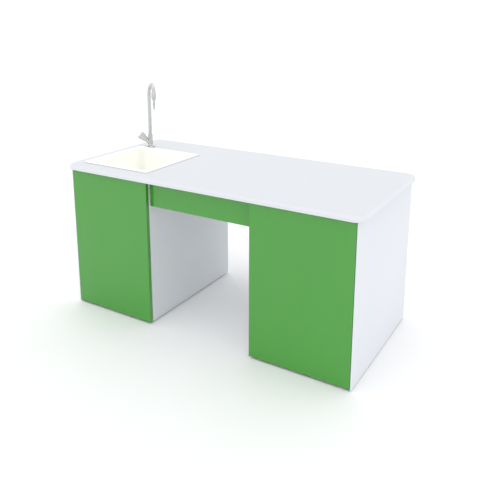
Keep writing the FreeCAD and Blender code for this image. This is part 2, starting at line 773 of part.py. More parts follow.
def make_spout():
    body = new_body("spout")
    low = S["tap_height"] + S["seat_gap"]
    bend, hook, rise = S["spout_bend"], S["spout_hook"], S["spout_rise"]
    reach, crest = bend + hook, rise + bend
    hook_end = crest - hook
    end = hook_end - S["spout_drop"]
    spine = new_sketch(body, "spout_path", "XZ_Plane")
    corners = [(0, low), (0, rise), (bend, crest), (reach, hook_end), (reach, end)]
    spots = [Vector(as_size(x).number, as_size(z).number, 0) for x, z in corners]
    lean = math.sqrt(0.5)
    rising = Vector(bend.number * (1 - lean), rise.number + bend.number * lean, 0)
    falling = Vector(bend.number + hook.number * lean, hook_end.number + hook.number * lean, 0)
    spine.addGeometry(Part.LineSegment(spots[0], spots[1]), False)
    spine.addGeometry(Part.Arc(spots[1], rising, spots[2]), False)
    spine.addGeometry(Part.Arc(spots[2], falling, spots[3]), False)
    spine.addGeometry(Part.LineSegment(spots[3], spots[4]), False)
    fix_point(spine, 0, 1, *corners[0])
    fix_point(spine, 0, 2, *corners[1])
    # A quarter turn drawn from left to right over the top starts at its right end
    fix_point(spine, 1, 1, *corners[2])
    fix_point(spine, 3, 1, *corners[3])
    fix_point(spine, 3, 2, *corners[4])
    spine.addConstraint(Sketcher.Constraint("Coincident", 1, 2, 0, 2))
    spine.addConstraint(Sketcher.Constraint("Coincident", 2, 2, 1, 1))
    spine.addConstraint(Sketcher.Constraint("Coincident", 2, 1, 3, 1))
    for arc, centre in ((1, rise), (2, hook_end)):
        level = spine.addConstraint(Sketcher.Constraint("DistanceY", -1, 1, arc, 3, centre.number))
        spine.setExpression(f"Constraints[{level}]", centre.formula)
    section = new_sketch(body, "spout_section", offset=low)
    draw_circle(section, S["spout_radius"])
    draw_circle(section, S["spout_radius"] - S["spout_wall"])
    doc.recompute()
    pipe = body.newObject("PartDesign::AdditivePipe", "spout_tube")
    pipe.Profile = section
    pipe.Spine = spine
    doc.recompute()
    spigot = new_sketch(body, "spigot_section", offset=low)
    draw_circle(spigot, S["spigot_radius"])
    draw_circle(spigot, S["spigot_radius"] - S["spigot_wall"])
    pad(body, spigot, "spigot", S["spigot_length"], down=True)
    keep(place(body, tap_x, tap_y, top_z, SPOUT_TURN), "spout_pipe")

    outer, tip, bore = S["nozzle_radius"], S["nozzle_tip"], S["nozzle_bore"]
    collar, ease, height = S["collar_radius"], S["collar_ease"], S["collar_height"]
    grip, seat = S["spout_radius"] + S["running_gap"], -S["seat_gap"]
    root = outer - S["nozzle_barb"]
    bottom = -S["nozzle_length"]
    tip_start = bottom + S["nozzle_tip_length"]
    first_barb = -S["nozzle_neck"]
    step = (tip_start - first_barb) / NOZZLE_BARBS
    outline = [(grip, height), (collar - ease * 0.2, height), (collar, height - ease), (collar, ease),
               (collar - ease * 0.3, 0), (root, first_barb + ease * 0.5)]
    for number in range(NOZZLE_BARBS):
        outline.append((outer, step * number + first_barb))
        outline.append((root, step * (number + BARB_SHARE) + first_barb))
    outline += [(tip, tip_start), (tip, bottom), (bore, bottom), (bore, seat), (grip, seat)]
    forward = SPOUT_TURN.multVec(Vector(1, 0, 0))
    keep(turned("nozzle", outline, tap_x + reach * forward.x, tap_y + reach * forward.y, top_z + end),
         "spout_nozzle")


def make_pedestal(side):
    low_x, high_x = span(side, inner_face, outer_face)
    cover = panel(f"{side}_cover", *span(side, carcass_outer, cover_outer), door_front, carcass_back,
                  S["cover_floor_gap"], under_z)
    keep(cover, f"{side}_end_cover")
    outer = panel(f"{side}_outer", *span(side, outer_face, carcass_outer), carcass_front, carcass_back,
                  base_z, under_z)
    inner = panel(f"{side}_inner", *span(side, knee_face, inner_face), carcass_front, carcass_back,
                  base_z, under_z)
    if side == "right":
        outer = cut("right_outer_holes", outer, group("outer_pin_sockets", pin_sockets(outer_face)))
        inner_start = inner_face - S["pin_socket"]
        inner = cut("right_inner_holes", inner, group("inner_pin_sockets", pin_sockets(inner_start)))
    inner = cut(f"{side}_inner_pilots", inner, group(f"{side}_screw_holes", sideways_screw_holes(side)))
    keep(outer, f"{side}_outer_side")
    keep(inner, f"{side}_inner_side")
    floor = panel(f"{side}_floor", low_x, high_x, carcass_front, back_face, base_z, floor_top)
    keep(floor, f"{side}_bottom")
    back = panel(f"{side}_rear", low_x, high_x, back_face, carcass_back, base_z, under_z)
    if side == "left":
        hole = rod("outlet_hole", S["outlet_radius"] + S["outlet_hole_gap"], S["back_board"] * 3, sink_x,
                   back_face - S["back_board"], outlet_z, "back")
        back = cut("left_rear_hole", back, hole)
    keep(back, f"{side}_back")
    rail_back = carcass_front + S["rail_width"]
    if side == "left":
        rail_back = sink_y - shell_length / 2 - S["sink_cutout_gap"]
    front_rail = panel(f"{side}_rail_front", low_x, high_x, carcass_front, rail_back, rail_z, under_z)
    keep(front_rail, f"{side}_front_rail")
    rail_start = back_face - S["rail_width"]
    if side == "left":
        rail_start = larger(rail_start, tap_y + tap_nut_radius + S["tap_nut_room"])
    rear_rail = panel(f"{side}_rail_rear", low_x, high_x, rail_start, back_face, rail_z, under_z)
    keep(rear_rail, f"{side}_rear_rail")


def shelf_pin_places():
    front = carcass_front + S["shelf_setback"] + S["pin_inset"]
    return front, back_face - S["pin_inset"]


def pin_sockets(start):
    """Two blind holes for shelf pins, drilled to the right from an X plane."""
    height = S["shelf_height"] - S["pin_radius"]
    return [rod(f"pin_socket_{number}_{round(start.number)}", S["pin_radius"] + S["running_gap"],
                S["pin_socket"], start, y, height, "right")
            for number, y in enumerate(shelf_pin_places())]


def make_shelf():
    gap = S["shelf_side_gap"]
    shelf = panel("shelf", inner_face + gap, outer_face - gap, carcass_front + S["shelf_setback"],
                  back_face - gap, S["shelf_height"], S["shelf_height"] + S["board"])
    keep(shelf, "right_shelf")
    pins = []
    reach = S["pin_length"]
    seat = S["pin_socket"] - S["seat_gap"]
    for end, start in (("inner", inner_face - seat), ("outer", outer_face + seat - reach)):
        for number, y in enumerate(shelf_pin_places()):
            pins.append(rod(f"shelf_pin_{end}_{number}", S["pin_radius"], reach, start, y,
                            S["shelf_height"] - S["pin_radius"], "right"))
    keep(group("shelf_pins", pins), "shelf_pins")


def make_door(side):
    axis_x = mirrored(side, door_outer - S["pivot_from_edge"])
    axis_y = door_front + S["pivot_from_front"]
    door = panel(f"{side}_leaf", *span(side, knee_face, door_outer), door_front, door_back, door_low,
                 door_high, "front_round")
    depth = S["bush_depth"]
    socket = S["bush_radius"] + S["running_gap"]
    low_hole = rod(f"{side}_door_low_hole", socket, depth, axis_x, axis_y, door_low)
    high_hole = rod(f"{side}_door_high_hole", socket, depth, axis_x, axis_y, door_high - depth)
    keep(cut(f"{side}_door", door, low_hole, high_hole), f"{side}_door")

    bore = S["pivot_pin_radius"] + S["running_gap"]
    bushes = [ring(f"{side}_bush_low", bore, S["bush_radius"], depth, axis_x, axis_y, door_low),
              ring(f"{side}_bush_high", bore, S["bush_radius"], depth, axis_x, axis_y, door_high - depth)]
    keep(group(f"{side}_bushes", bushes), f"{side}_door_bushes")

    plate, plate_gap = S["pivot_plate"], S["pivot_plate_gap"]
    low_plate = door_low - plate_gap - plate
    high_plate = door_high + plate_gap
    inward = -1 if side == "right" else 1
    tongue = (axis_x - S["pivot_plate_edge"] * inward, axis_x + S["pivot_plate_reach"] * inward)
    leg = (axis_x + S["pivot_leg_start"] * inward, axis_x + S["pivot_plate_reach"] * inward)
    tongue, leg = tongue[::inward], leg[::inward]
    front = axis_y - S["pivot_plate_nose"]
    leg_front = carcass_front - S["pivot_leg"]
    pin, reach = S["pivot_pin_radius"], S["pivot_pin_depth"]
    low = joined(
        f"{side}_pivot_low",
        box(f"{side}_low_plate", *tongue, front, carcass_front, low_plate, low_plate + plate),
        box(f"{side}_low_leg", *leg, leg_front, carcass_front, low_plate, base_z + S["pivot_leg_height"]),
        rod(f"{side}_low_pin", pin, plate + plate_gap + reach, axis_x, axis_y, low_plate))
    high = joined(
        f"{side}_pivot_high",
        box(f"{side}_high_plate", *tongue, front, carcass_front, high_plate, high_plate + plate),
        box(f"{side}_high_leg", *leg, leg_front, carcass_front, under_z - S["pivot_leg_height"],
            high_plate + plate),
        rod(f"{side}_high_pin", pin, plate + plate_gap + reach, axis_x, axis_y, door_high - reach))
    keep(group(f"{side}_pivots", [low, high]), f"{side}_door_pivots")


def make_latch(side):
    low_x, high_x = span(side, inner_face, inner_face + S["latch_width"])
    centre_x = (low_x + high_x) / 2
    centre_z = under_z - S["latch_drop"]
    half = S["latch_height"] / 2
    front = carcass_front + S["latch_setback"]
    housing = panel(f"{side}_latch_housing", low_x, high_x, front, front + S["latch_length"],
                    centre_z - half, centre_z + half)
    tip = door_back + S["catch_plate"] + S["plunger_play"]
    depth = S["plunger_length"] + S["plunger_travel"] + S["plunger_room"]
    bore = rod(f"{side}_latch_bore", S["plunger_radius"] + S["running_gap"], depth, centre_x, tip, centre_z,
               "back")
    keep(cut(f"{side}_latch", housing, bore), f"{side}_latch_body")
    plunger = rod(f"{side}_plunger", S["plunger_radius"], S["plunger_length"], centre_x, tip, centre_z, "back")
    keep(plunger, f"{side}_latch_plunger")
    catch = rod(f"{side}_catch", S["catch_radius"], S["catch_plate"], centre_x, door_back, centre_z, "back")
    keep(catch, f"{side}_catch_plate")


drawer_face = door_front + S["drawer_recess"]
drawer_front_back = drawer_face + S["door"]
drawer_high = under_z - S["drawer_top_gap"]
drawer_low = drawer_high - S["drawer_front_height"]
drawer_outer = knee_face - S["runner_space"]
drawer_inner = drawer_outer - S["drawer_side"]
side_low = drawer_low + S["drawer_side_lift"]
side_high = side_low + S["drawer_side_height"]
drawer_end = drawer_front_back + S["drawer_length"]


def make_drawer():
    front_half = knee_face - S["drawer_front_gap"]
    front = panel("drawer_face", -front_half, front_half, drawer_face, drawer_front_back, drawer_low,
                  drawer_high, "front_round")
    keep(front, "drawer_front")
    for side in ("left", "right"):
        board = panel(f"drawer_{side}", *span(side, drawer_inner, drawer_outer), drawer_front_back,
                      drawer_end, side_low, side_high)
        keep(board, f"drawer_{side}_side")
    base_low = side_low + S["drawer_base_lift"]
    base_high = base_low + S["drawer_base"]
    rear = panel("drawer_rear", -drawer_inner, drawer_inner, drawer_end - S["drawer_side"], drawer_end,
                 base_high, side_high)
    keep(rear, "drawer_back")
    keep(panel("drawer_floor", -drawer_inner, drawer_inner, drawer_front_back, drawer_end, base_low,
               base_high), "drawer_bottom")


def channel(name, side, web, lips, y0, y1, z0, z1):
    """A sheet channel: an upright web between two X planes and two lips to a third."""
    gauge = S["runner_sheet"]
    back = box(f"{name}_web", *span(side, *web), y0, y1, z0, z1)
    low = box(f"{name}_low_lip", *span(side, *lips), y0, y1, z0, z0 + gauge)
    high = box(f"{name}_high_lip", *span(side, *lips), y0, y1, z1 - gauge, z1)
    return joined(name, back, low, high)


def make_runner(side):
    gauge, play = S["runner_sheet"], S["runner_play"]
    low = side_low + S["runner_lift"]
    high = low + S["runner_height"]
    end = drawer_front_back + S["runner_length"]
    rail = channel(f"{side}_rail", side, (knee_face - gauge, knee_face),
                   (drawer_outer + gauge + play, knee_face), drawer_front_back, end, low, high)
    keep(rail, f"{side}_runner_rail")
    inset = gauge + play
    slide = channel(f"{side}_slide", side, (drawer_outer, drawer_outer + gauge),
                    (drawer_outer, knee_face - inset), drawer_front_back, end, low + inset, high - inset)
    keep(slide, f"{side}_runner_slide")


def make_stretcher():
    rail = panel("stretcher", -knee_face, knee_face, carcass_back - S["board"], carcass_back,
                 under_z - S["stretcher_height"], under_z)
    keep(rail, "rear_stretcher")


def bracket_places():
    """Where a bracket's wall face is, which way it points, and its place along the depth."""
    rear = carcass_back - S["bracket_from_back"]
    for side, pointing in (("left", 1), ("right", -1)):
        for y in (rear - S["bracket_pitch"], rear):
            yield mirrored(side, knee_face), pointing, y


def bracket_screw_place(wall, pointing):
    """The centre of an upward screw, measured from the bracket's wall face."""
    return wall + S["bracket_leg"] * BRACKET_HOLE_SHARE * pointing


def upward_screw_holes():
    return [rod(f"top_screw_hole{number}", S["screw_radius"] + S["running_gap"],
                S["screw_length"], bracket_screw_place(wall, pointing), y, under_z)
            for number, (wall, pointing, y) in enumerate(bracket_places())]


def sideways_screw_holes(side):
    """Pilot holes in the kneehole face of a pedestal's inner side."""
    z = under_z - S["bracket_leg"] * BRACKET_HOLE_SHARE
    start = -knee_face - S["screw_length"] if side == "left" else knee_face
    return [rod(f"{side}_screw_hole{number}", S["screw_radius"] + S["running_gap"], S["screw_length"], start,
                y, z, "right")
            for number, (wall, pointing, y) in enumerate(bracket_places()) if wall.number * start.number > 0]


def make_brackets():
    leg, gauge, half = S["bracket_leg"], S["bracket_sheet"], S["bracket_width"] / 2
    head, head_height, shank = S["screw_head_radius"], S["screw_head_height"], S["screw_radius"]
    shank_end = S["screw_length"]
    screw_outline = [(0, -head_height), (head * 0.6, -head_height), (head, -head_height * 0.4), (head, 0),
                     (shank, 0), (shank, shank_end), (0, shank_end)]
    side_z = under_z - leg * BRACKET_HOLE_SHARE
    brackets, screws = [], []
    for number, (wall, pointing, y) in enumerate(bracket_places()):
        name = f"bracket{number}"
        inner = wall + gauge * pointing
        upright = (wall, inner)[::pointing]
        flat = (wall, wall + leg * pointing)[::pointing]
        angle = joined(
            name,
            box(f"{name}_upright", *upright, y - half, y + half, under_z - leg, under_z),
            box(f"{name}_flat", *flat, y - half, y + half, under_z - gauge, under_z))
        top_x = bracket_screw_place(wall, pointing)
        hole = shank + S["running_gap"]
        brackets.append(cut(
            name, angle,
            rod(f"{name}_top_hole", hole, gauge * 2, top_x, y, under_z - gauge * 1.5),
            rod(f"{name}_side_hole", hole, gauge * 3, wall - gauge * 1.5, y, side_z, "right")))
        screws.append(turned(f"{name}_top_screw", screw_outline, top_x, y, under_z - gauge))
        screws.append(turned(f"{name}_side_screw", screw_outline, inner, y, side_z,
                             Rotation(Vector(0, 1, 0), -90 * pointing)))
    keep(group("brackets", brackets), "worktop_brackets")
    keep(group("screws", screws), "bracket_screws")


def make_glides():
    inset, radius, height = S["glide_inset"], S["glide_radius"], S["glide_height"]
    bevel = S["glide_bevel"]
    glides = []
    for side in ("left", "right"):
        for x in (outer_face - inset, inner_face + inset):
            for y in (carcass_front + inset, back_face - inset):
                outline = [(0, 0), (radius - bevel, 0), (radius, bevel), (radius, height - bevel),
                           (radius - S["glide_neck"], height), (0, height)]
                glides.append(turned(f"glide{len(glides)}", outline, mirrored(side, x), y, 0))
    keep(group("glides", glides), "glide_feet")


def check_and_write():
    """Stop on any failed object, then write each sub-part to its own file."""
    doc.recompute()
    failed = [item.Label for item in doc.Objects if "Invalid" in item.State or "Error" in item.State]
    if failed:
        raise RuntimeError("failed objects: " + ", ".join(failed))
    os.makedirs("parts", exist_ok=True)
    for item in sub_parts:
        shape = item.Shape
        if shape.isNull() or not shape.isValid() or not shape.Solids:
            raise RuntimeError(f"{item.Label} has no valid solid")
    for item in sub_parts:
        item.Shape.exportStep(f"parts/{item.Label}.step")
    print(len(sub_parts), "sub-parts written")


make_worktop()
make_sink()
make_waste()
make_trap()
make_tap()
make_tap_valve()
make_spout()
for desk_side in ("left", "right"):
    make_pedestal(desk_side)
    make_door(desk_side)
    make_latch(desk_side)
    make_runner(desk_side)
make_shelf()
make_drawer()
make_stretcher()
make_brackets()
make_glides()
check_and_write()
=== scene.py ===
"""Lab teacher desk: finishes, small visual pieces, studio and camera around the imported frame."""
import json
import math

import bmesh
import bpy
from mathutils import Matrix, Vector


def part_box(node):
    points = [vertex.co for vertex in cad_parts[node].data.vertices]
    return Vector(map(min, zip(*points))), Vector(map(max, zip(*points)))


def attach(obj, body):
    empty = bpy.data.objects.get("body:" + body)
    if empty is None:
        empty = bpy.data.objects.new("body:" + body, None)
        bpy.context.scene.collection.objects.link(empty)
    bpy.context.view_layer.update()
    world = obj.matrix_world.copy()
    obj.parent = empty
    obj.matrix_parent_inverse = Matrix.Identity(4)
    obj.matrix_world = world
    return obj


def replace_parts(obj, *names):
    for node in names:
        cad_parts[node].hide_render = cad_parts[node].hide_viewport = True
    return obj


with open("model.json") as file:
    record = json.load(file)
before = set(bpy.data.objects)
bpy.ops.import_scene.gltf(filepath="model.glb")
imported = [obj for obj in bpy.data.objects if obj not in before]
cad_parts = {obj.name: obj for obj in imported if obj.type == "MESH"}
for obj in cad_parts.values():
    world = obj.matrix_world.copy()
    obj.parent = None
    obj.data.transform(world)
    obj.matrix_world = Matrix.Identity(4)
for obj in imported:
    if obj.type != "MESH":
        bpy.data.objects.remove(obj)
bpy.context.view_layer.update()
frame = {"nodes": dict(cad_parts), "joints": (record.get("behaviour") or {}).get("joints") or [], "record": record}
nodes = frame["nodes"]

# Finishes. Each one is a Principled shader fed by patterns on Object coordinates, in metres.

# Most values of a random pattern lie between these two
PATTERN_LOW = 0.3
PATTERN_HIGH = 0.7


def new_finish(name, **sockets):
    """A material whose shader has the given plain values; underscores stand for spaces."""
    material = bpy.data.materials.new(name)
    material.use_nodes = True
    for socket, value in sockets.items():
        shader_of(material).inputs[socket.replace("_", " ")].default_value = value
    return material


def add_node(material, kind, **settings):
    node = material.node_tree.nodes.new(kind)
    for name, value in settings.items():
        setattr(node, name, value)
    return node


def link(material, source, target):
    material.node_tree.links.new(source, target)


def shader_of(material):
    return material.node_tree.nodes["Principled BSDF"]


def object_space(material, stretch=(1, 1, 1)):
    """Object coordinates, stretched for a pattern with a direction."""
    coords = add_node(material, "ShaderNodeTexCoord")
    mapping = add_node(material, "ShaderNodeMapping")
    mapping.inputs["Scale"].default_value = stretch
    link(material, coords.outputs["Object"], mapping.inputs["Vector"])
    return mapping.outputs["Vector"]


def cloud(material, per_metre, detail=3.0, roughness=0.55, stretch=(1, 1, 1)):
    """A soft random pattern with so many blotches to the metre."""
    noise = add_node(material, "ShaderNodeTexNoise")
    noise.inputs["Scale"].default_value = per_metre
    noise.inputs["Detail"].default_value = detail
    noise.inputs["Roughness"].default_value = roughness
    link(material, object_space(material, stretch), noise.inputs["Vector"])
    return noise.outputs["Fac"]


def colour_between(material, pattern, dark, light, start=PATTERN_LOW, end=PATTERN_HIGH):
    """Colour the surface from dark to light over a stretch of the pattern."""
    ramp = add_node(material, "ShaderNodeValToRGB")
    ramp.color_ramp.elements[0].position = start
    ramp.color_ramp.elements[0].color = (*dark, 1)
    ramp.color_ramp.elements[1].position = end
    ramp.color_ramp.elements[1].color = (*light, 1)
    link(material, pattern, ramp.inputs["Fac"])
    link(material, ramp.outputs["Color"], shader_of(material).inputs["Base Color"])


def roughness_between(material, pattern, smooth, rough):
    spread = add_node(material, "ShaderNodeMapRange")
    spread.inputs["From Min"].default_value = PATTERN_LOW
    spread.inputs["From Max"].default_value = PATTERN_HIGH
    spread.inputs["To Min"].default_value = smooth
    spread.inputs["To Max"].default_value = rough
    link(material, pattern, spread.inputs["Value"])
    link(material, spread.outputs["Result"], shader_of(material).inputs["Roughness"])


def relief(material, pattern, depth, strength, under=None):
    """Raise the surface by a pattern, on top of an earlier relief if one is given."""
    bump = add_node(material, "ShaderNodeBump")
    bump.inputs["Strength"].default_value = strength
    bump.inputs["Distance"].default_value = depth
    link(material, pattern, bump.inputs["Height"])
    if under is not None:
        link(material, under, bump.inputs["Normal"])
    link(material, bump.outputs["Normal"], shader_of(material).inputs["Normal"])
    return bump.outputs["Normal"]


def edge_band_and_painted_light(material, thin, face, seam, edge_tint, low, seam_at, high):
    """Tint a board by how far its surface turns towards the thin axis.

    Broad faces lie above high, edges below low, and the seam between them at seam_at. On the boards this is the
    edge band's own tone; on the worktop it is painted light, lightening the rolled edge.
    """
    coords = add_node(material, "ShaderNodeTexCoord")
    parts = add_node(material, "ShaderNodeSeparateXYZ")
    across = add_node(material, "ShaderNodeMath", operation="ABSOLUTE")
    tint = add_node(material, "ShaderNodeValToRGB")
    stops = tint.color_ramp.elements
    stops[0].position = low
    stops[0].color = (edge_tint, edge_tint, edge_tint, 1)
    stops[1].position = high
    stops[1].color = (face, face, face, 1)
    stops.new(seam_at).color = (seam, seam, seam, 1)
    mix = add_node(material, "ShaderNodeMix", data_type="RGBA", blend_type="MULTIPLY")
    mix.inputs["Factor"].default_value = 1
    base = shader_of(material).inputs["Base Color"]
    link(material, coords.outputs["Normal"], parts.inputs["Vector"])
    link(material, parts.outputs[thin], across.inputs[0])
    link(material, across.outputs["Value"], tint.inputs["Fac"])
    link(material, base.links[0].from_socket, mix.inputs["A"])
    link(material, tint.outputs["Color"], mix.inputs["B"])
    link(material, mix.outputs["Result"], base)


def faced_board(name, dark, light, smooth, rough, shine):
    """Board with a pressed facing: even colour, pearl grain, a slight unevenness of the core."""
    material = new_finish(name, Specular_IOR_Level=shine)
    colour_between(material, cloud(material, per_metre=2.2, detail=4.0), dark, light)
    roughness_between(material, cloud(material, per_metre=60), smooth, rough)
    core = relief(material, cloud(material, per_metre=9, detail=2.0), depth=0.0003, strength=0.10)
    relief(material, cloud(material, per_metre=850, detail=2.0), depth=0.00002, strength=0.10, under=core)
    return material


def white_board(name, thin, dark, light):
    """White facing with a close-fitting white edge band, for a board that is thin along one axis."""
    material = faced_board(name, dark, light, smooth=0.40, rough=0.45, shine=0.45)
    edge_band_and_painted_light(material, thin, face=1.0, seam=0.90, edge_tint=0.98, low=0.35, seam_at=0.625, high=0.90)
    return material


def green_front(name, thin, dark, light):
    """Glossy green facing whose edge band is deeper in colour."""
    material = faced_board(name, dark, light, smooth=0.09, rough=0.13, shine=0.85)
    edge_band_and_painted_light(material, thin, face=1.0, seam=0.80, edge_tint=0.86, low=0.35, seam_at=0.625, high=0.90)
    return material


def worktop_facing(name, dark, light):
    """Light grey-white top whose rolled edge is painted lighter: painted light that evens the edge with the
    better-lit top.
    """
    material = faced_board(name, dark, light, smooth=0.38, rough=0.43, shine=0.45)
    # Painted light: the rolled edge is made lighter than the top so that it looks as bright as the top
    edge_band_and_painted_light(material, "Z", face=0.805, seam=0.842, edge_tint=0.935, low=0.30, seam_at=0.88, high=0.998)
    return material


def glazed_ware(name, dark, light):
    """Thick white glaze with a soft waviness under a glossy coat."""
    material = new_finish(name, Specular_IOR_Level=0.55, Coat_Weight=0.6, Coat_Roughness=0.04)
    colour_between(material, cloud(material, per_metre=7), dark, light)
    roughness_between(material, cloud(material, per_metre=40, detail=2.0), smooth=0.10, rough=0.18)
    relief(material, cloud(material, per_metre=16, detail=1.0), depth=0.0008, strength=0.15)
    return material


def plated_metal(name, dark, light, smooth, rough):
    """Polished plating with faint wiping haze."""
    material = new_finish(name, Metallic=1.0)
    colour_between(material, cloud(material, per_metre=55, detail=4.0), dark, light)
    roughness_between(material, cloud(material, per_metre=130, detail=5.0), smooth, rough)
    relief(material, cloud(material, per_metre=45, detail=1.0), depth=0.0002, strength=0.08)
    return material


def brushed_metal(name, dark, light, smooth, rough):
    """Sheet metal with fine lines along Y."""
    material = new_finish(name, Metallic=1.0)
    lines = cloud(material, per_metre=400, detail=4.0, roughness=0.6, stretch=(1, 0.06, 1))
    colour_between(material, lines, dark, light)
    roughness_between(material, lines, smooth, rough)
    relief(material, lines, depth=0.00004, strength=0.4)
    return material


def zinc_plate(name, dark, light, crystals_per_metre):
    """Zinc-plated sheet: faint crystal blotches and a dull sheen."""
    material = new_finish(name, Metallic=1.0)
    crystals = add_node(material, "ShaderNodeTexVoronoi")
    crystals.inputs["Scale"].default_value = crystals_per_metre
    link(material, object_space(material), crystals.inputs["Vector"])
    colour_between(material, crystals.outputs["Color"], dark, light, start=0.1, end=0.9)
    roughness_between(material, cloud(material, per_metre=220), smooth=0.28, rough=0.44)
    relief(material, cloud(material, per_metre=600, detail=2.0), depth=0.00004, strength=0.3)
    return material


def moulded_plastic(name, dark, light, smooth, rough):
    """Moulded plastic with a fine spark grain."""
    material = new_finish(name, Specular_IOR_Level=0.45)
    colour_between(material, cloud(material, per_metre=12), dark, light)
    roughness_between(material, cloud(material, per_metre=90), smooth, rough)
    relief(material, cloud(material, per_metre=1400, detail=2.0), depth=0.00005, strength=0.4)
    return material


finishes = {
    "worktop_white": worktop_facing("worktop_white", dark=(0.745, 0.772, 0.812),
                                    light=(0.764, 0.790, 0.832)),
    "sink_white": glazed_ware("sink_white", dark=(0.965, 0.965, 0.92), light=(0.98, 0.98, 0.935)),
    "chrome": plated_metal("chrome", dark=(0.52, 0.53, 0.535), light=(0.58, 0.59, 0.595),
                           smooth=0.12, rough=0.18),
    "stainless": brushed_metal("stainless", dark=(0.52, 0.52, 0.52), light=(0.66, 0.66, 0.66),
                               smooth=0.20, rough=0.36),
    "steel": zinc_plate("steel", dark=(0.50, 0.51, 0.53), light=(0.57, 0.58, 0.60),
                        crystals_per_metre=140),
    "brass": plated_metal("brass", dark=(0.58, 0.40, 0.16), light=(0.68, 0.50, 0.22),
                          smooth=0.22, rough=0.34),
    "white_plastic": moulded_plastic("white_plastic", dark=(0.76, 0.76, 0.74), light=(0.82, 0.82, 0.80),
                                     smooth=0.30, rough=0.42),
    "grey_plastic": moulded_plastic("grey_plastic", dark=(0.24, 0.25, 0.26), light=(0.29, 0.30, 0.31),
                                    smooth=0.38, rough=0.52),
    "black_plastic": moulded_plastic("black_plastic", dark=(0.018, 0.018, 0.019), light=(0.028, 0.028, 0.03),
                                     smooth=0.42, rough=0.58),
    # Partly painted shade: a real sealant bead, given a grey tone that draws the shade line along the sink's rim
    "sealant": moulded_plastic("sealant", dark=(0.47, 0.48, 0.49), light=(0.52, 0.53, 0.54),
                               smooth=0.30, rough=0.42),
    "rubber": moulded_plastic("rubber", dark=(0.014, 0.014, 0.015), light=(0.024, 0.024, 0.025),
                              smooth=0.6, rough=0.75),
}
for axis in "XYZ":
    finishes["white_board", axis] = white_board(
        "white_board_" + axis, axis, dark=(0.712, 0.736, 0.778), light=(0.727, 0.751, 0.793))
    # Painted shade: a darker copy of the white facing, for the pedestal boards
    finishes["carcass_board", axis] = white_board(
        "carcass_board_" + axis, axis, dark=(0.645, 0.666, 0.685), light=(0.659, 0.680, 0.699))
    finishes["green_front", axis] = green_front(
        "green_front_" + axis, axis, dark=(0.045, 0.292, 0.022), light=(0.049, 0.303, 0.025))

# Painted shade: the boards that the pedestals are built up from get a darker, greyer copy of the white facing,
# standing in for the shade in the kneehole
CARCASS_BOARDS = ("inner_side", "outer_side", "bottom", "front_rail", "rear_rail", "shelf")
CARCASS = {f"{side}_{board}" for side in ("left", "right") for board in CARCASS_BOARDS}


def thinnest(node):
    """The axis that a board is thin along."""
    low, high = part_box(node)
    spans = high - low
    return "XYZ"[min(range(3), key=lambda number: spans[number])]


for subpart in frame["record"]["subparts"]:
    node, slot = subpart["node"], subpart["material_slot"]
    mesh = nodes[node].data
    mesh.materials.clear()
    # The pedestal boards take the darker copy of the white facing, as painted shade
    facing = "carcass_board" if node in CARCASS else slot
    mesh.materials.append(finishes[slot] if slot in finishes else finishes[facing, thinnest(node)])

# Small visual pieces, each set out from the frame's own boxes and joint axes

WELD = 0.000005
SHARP_EDGE = math.radians(38)
TURN_STEPS = 48
QUARTER_TURN = math.pi / 2


def add_piece(name, shape, body, slot, finish=None):
    """Close the shape's seams, turn its faces outwards and make it a piece of the desk."""
    bmesh.ops.remove_doubles(shape, verts=shape.verts, dist=WELD)
    bmesh.ops.recalc_face_normals(shape, faces=shape.faces)
    mesh = bpy.data.meshes.new(name)
    shape.to_mesh(mesh)
    shape.free()
    mesh.materials.append(finishes[finish or slot])
    mesh.shade_smooth()
    mesh.set_sharp_from_angle(angle=SHARP_EDGE)
    piece = bpy.data.objects.new(name, mesh)
    bpy.context.scene.collection.objects.link(piece)
    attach(piece, body)
    return piece


def axis_frame(foot, axis):
    """Moves a shape made about the upright axis at the origin to foot, along axis."""
    return Matrix.Translation(foot) @ Vector(axis).to_track_quat("Z", "Y").to_matrix().to_4x4()


def turn_outline(shape, outline, foot, axis=(0, 0, 1), closed=False):
    """Turn an outline of (radius, height) points about an axis that starts at foot."""
    points = [shape.verts.new((radius, 0, height)) for radius, height in outline]
    pairs = list(zip(points, points[1:]))
    if closed:
        pairs.append((points[-1], points[0]))
    edges = [shape.edges.new(pair) for pair in pairs]
    bmesh.ops.spin(shape, geom=points + edges, cent=(0, 0, 0), axis=(0, 0, 1), angle=math.tau,
                   steps=TURN_STEPS, use_merge=True)
    bmesh.ops.transform(shape, matrix=axis_frame(foot, axis), verts=shape.verts)


def joint_named(name):
    return next(joint for joint in frame["joints"] if joint["name"] == name)


SINK_CORNER = 0.010
CORNER_SEGMENTS = 6
SEAL_WIDTH = 0.0035
SEAL_HEIGHT = 0.0030
SEAL_SINK_IN = 0.0004
SEAL_STEPS = 4


def rounded_loop(shape, middle, half_x, half_y, corner, height):
    """A closed ring of edges round a rectangle with rounded corners."""
    made = bmesh.ops.create_grid(shape, x_segments=1, y_segments=1, size=1)
    corners = made["verts"]
    bmesh.ops.scale(shape, vec=(half_x, half_y, 1), verts=corners)
    bmesh.ops.translate(shape, vec=(middle.x, middle.y, height), verts=corners)
    rounded = bmesh.ops.bevel(shape, geom=corners, offset=corner, affect="VERTICES",
                              segments=CORNER_SEGMENTS, profile=0.5, material=-1)
    ring = list(dict.fromkeys(edge for vert in rounded["verts"] for edge in vert.link_edges))
    inside = list(dict.fromkeys(face for edge in ring for face in edge.link_faces))
    bmesh.ops.delete(shape, geom=inside, context="FACES_ONLY")
    return ring


